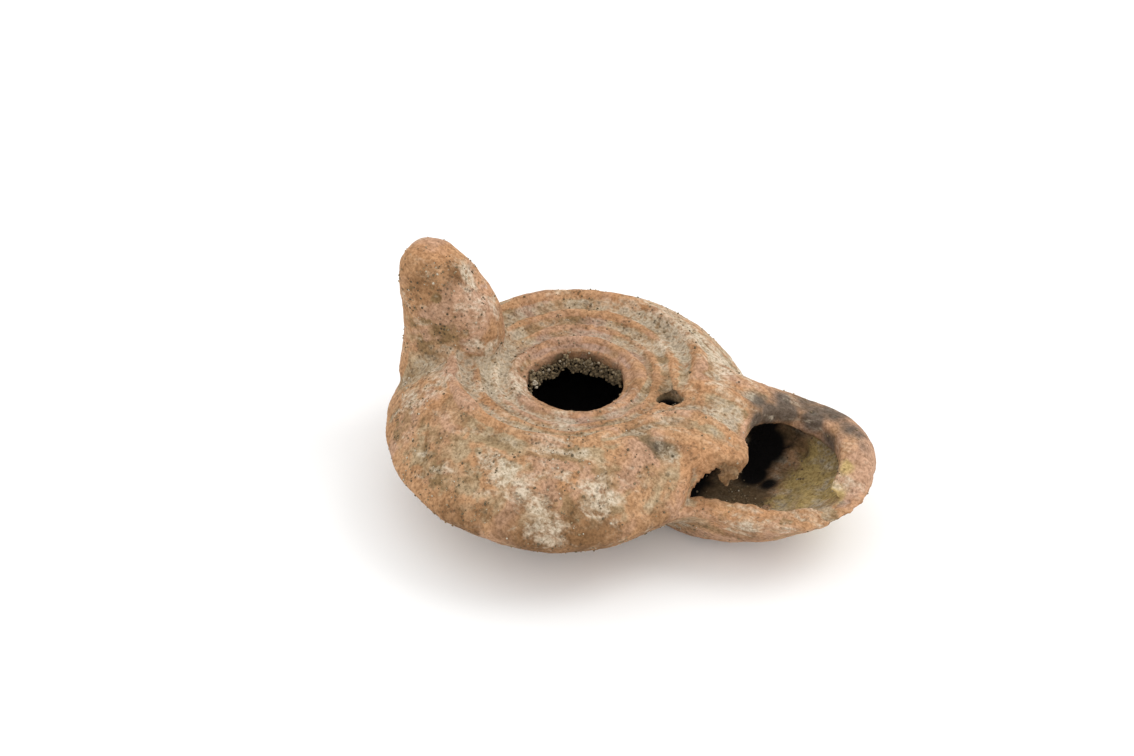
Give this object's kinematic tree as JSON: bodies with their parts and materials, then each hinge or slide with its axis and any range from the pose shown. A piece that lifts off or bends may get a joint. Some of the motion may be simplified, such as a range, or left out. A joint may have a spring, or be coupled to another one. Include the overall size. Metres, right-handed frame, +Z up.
{
  "type": "oil lamp",
  "caption": "Broken moulded clay oil lamp: hollow round bowl, sunken ringed lid with a filling hole, spout with a wick hole and an upright lug handle.",
  "frame": {"origin": "centre of the flat base, where it meets the surface that the lamp stands on", "axes": "+Z up; +X along the lamp from the handle to the spout; +Y to the side whose spout wall is whole"},
  "size_m": [0.1039, 0.0828, 0.0496],
  "materials": {
    "fired_clay": "rough unglazed clay, worn and soiled"
  },
  "bodies": {
    "root": {"lamp": "fired_clay"}
  },
  "joints": []
}
